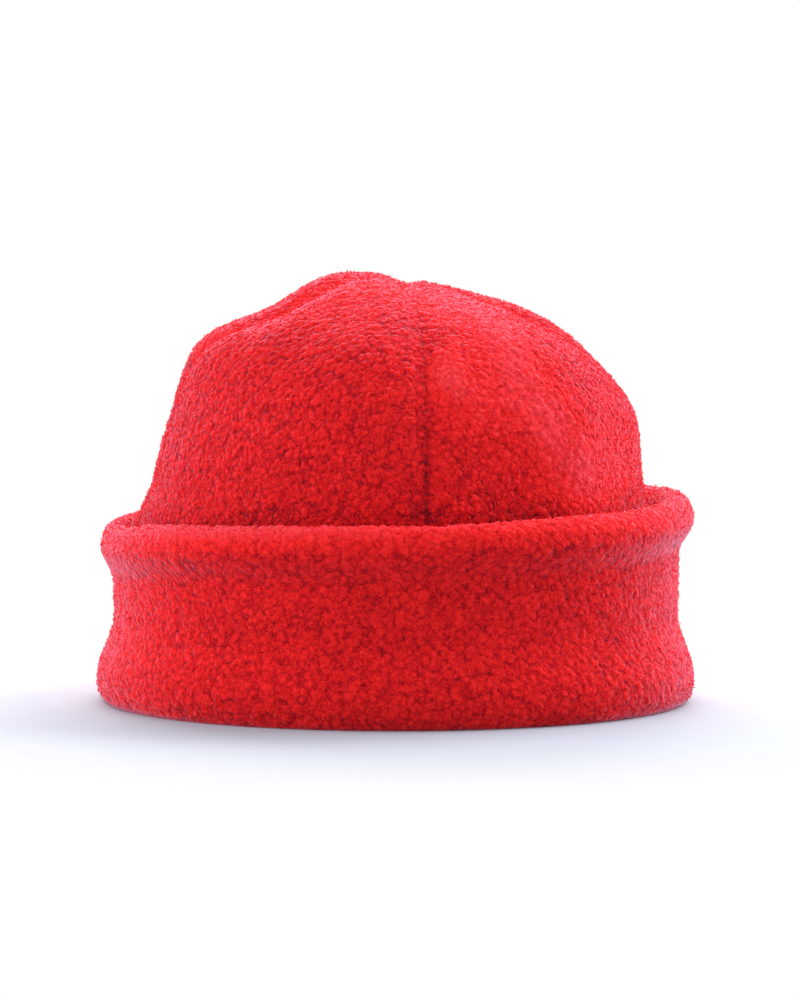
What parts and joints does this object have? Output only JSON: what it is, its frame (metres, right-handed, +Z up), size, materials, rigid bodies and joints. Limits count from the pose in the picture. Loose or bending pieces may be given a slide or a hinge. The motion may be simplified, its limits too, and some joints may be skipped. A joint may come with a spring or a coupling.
{
  "type": "beanie",
  "caption": "Soft fleece beanie with a domed crown of sewn panels and a tall turned-up cuff, standing open on its rim, worn on the head for warmth.",
  "frame": {"origin": "centre of the hat's outline at the height of the rim's flat underside, which rests on the table", "axes": "+Z up through the crown, -Y to the front seam of the crown, +X to the viewer's right"},
  "size_m": [0.2272, 0.2272, 0.1624],
  "materials": {
    "fleece": "red boiled wool fleece with a short pebbled pile, matt"
  },
  "bodies": {
    "root": {"crown_panel_front_right": "fleece", "crown_panel_back_right": "fleece", "crown_panel_back_left": "fleece", "crown_panel_front_left": "fleece", "cuff": "fleece"}
  },
  "joints": []
}
